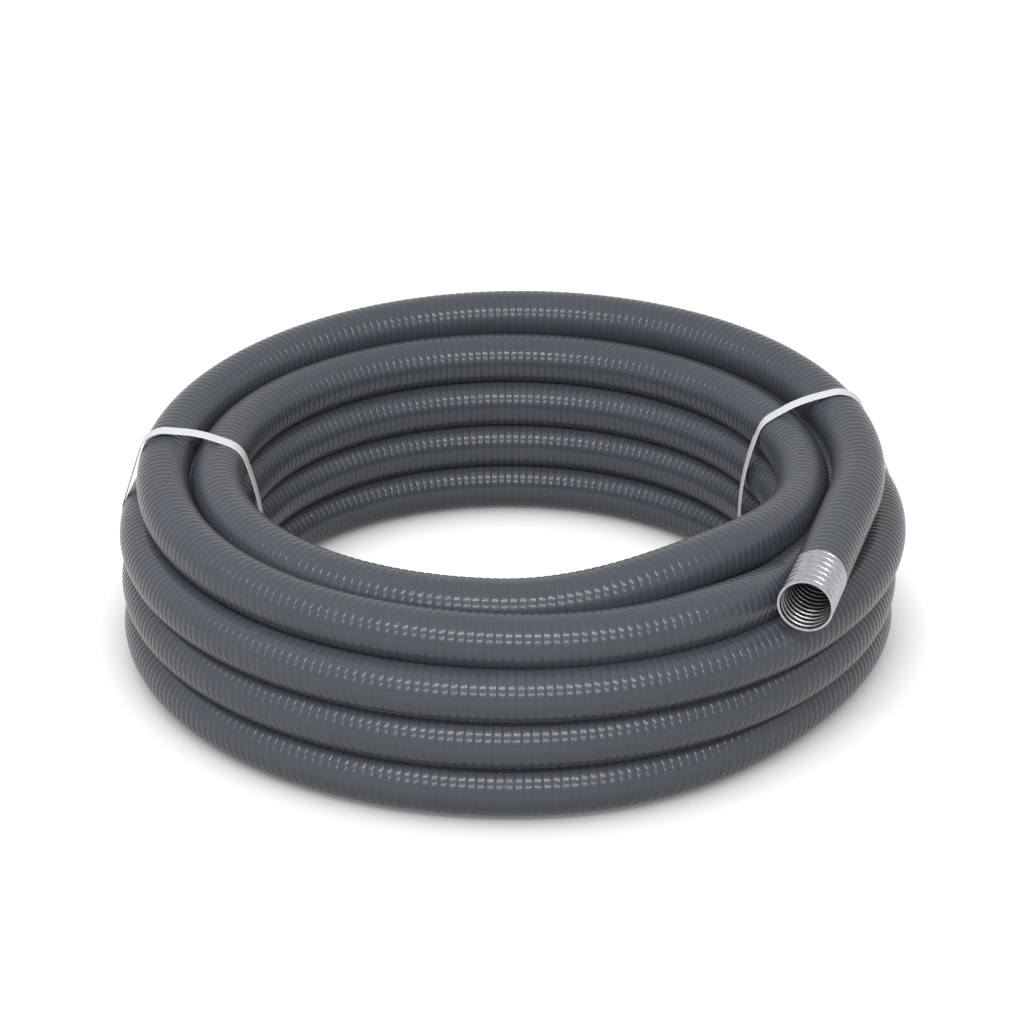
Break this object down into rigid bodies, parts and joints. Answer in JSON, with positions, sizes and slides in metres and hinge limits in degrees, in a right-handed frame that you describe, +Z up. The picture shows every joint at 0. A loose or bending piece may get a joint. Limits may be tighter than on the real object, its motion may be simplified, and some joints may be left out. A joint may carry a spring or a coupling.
{
  "type": "coil of pvc-coated flexible metal conduit",
  "caption": "Flat coil of ribbed PVC-coated flexible steel conduit, held by flat tie straps, with a bare corrugated steel end for a gland or box connector.",
  "frame": {"origin": "on the floor under the middle of the coil", "axes": "+Z up along the coil's axis, the free end leaves the top turn at +X and points along -Y, turned 4.5 degrees outwards"},
  "size_m": [0.493, 0.493, 0.1445],
  "materials": {
    "coating": "ribbed soft PVC, satin",
    "steel": "bright galvanised strip",
    "strap": "embossed polypropylene strap"
  },
  "bodies": {
    "root": {"pvc_jacket": "coating", "steel_core": "steel", "near_strap": "strap", "far_strap": "strap"}
  },
  "joints": []
}
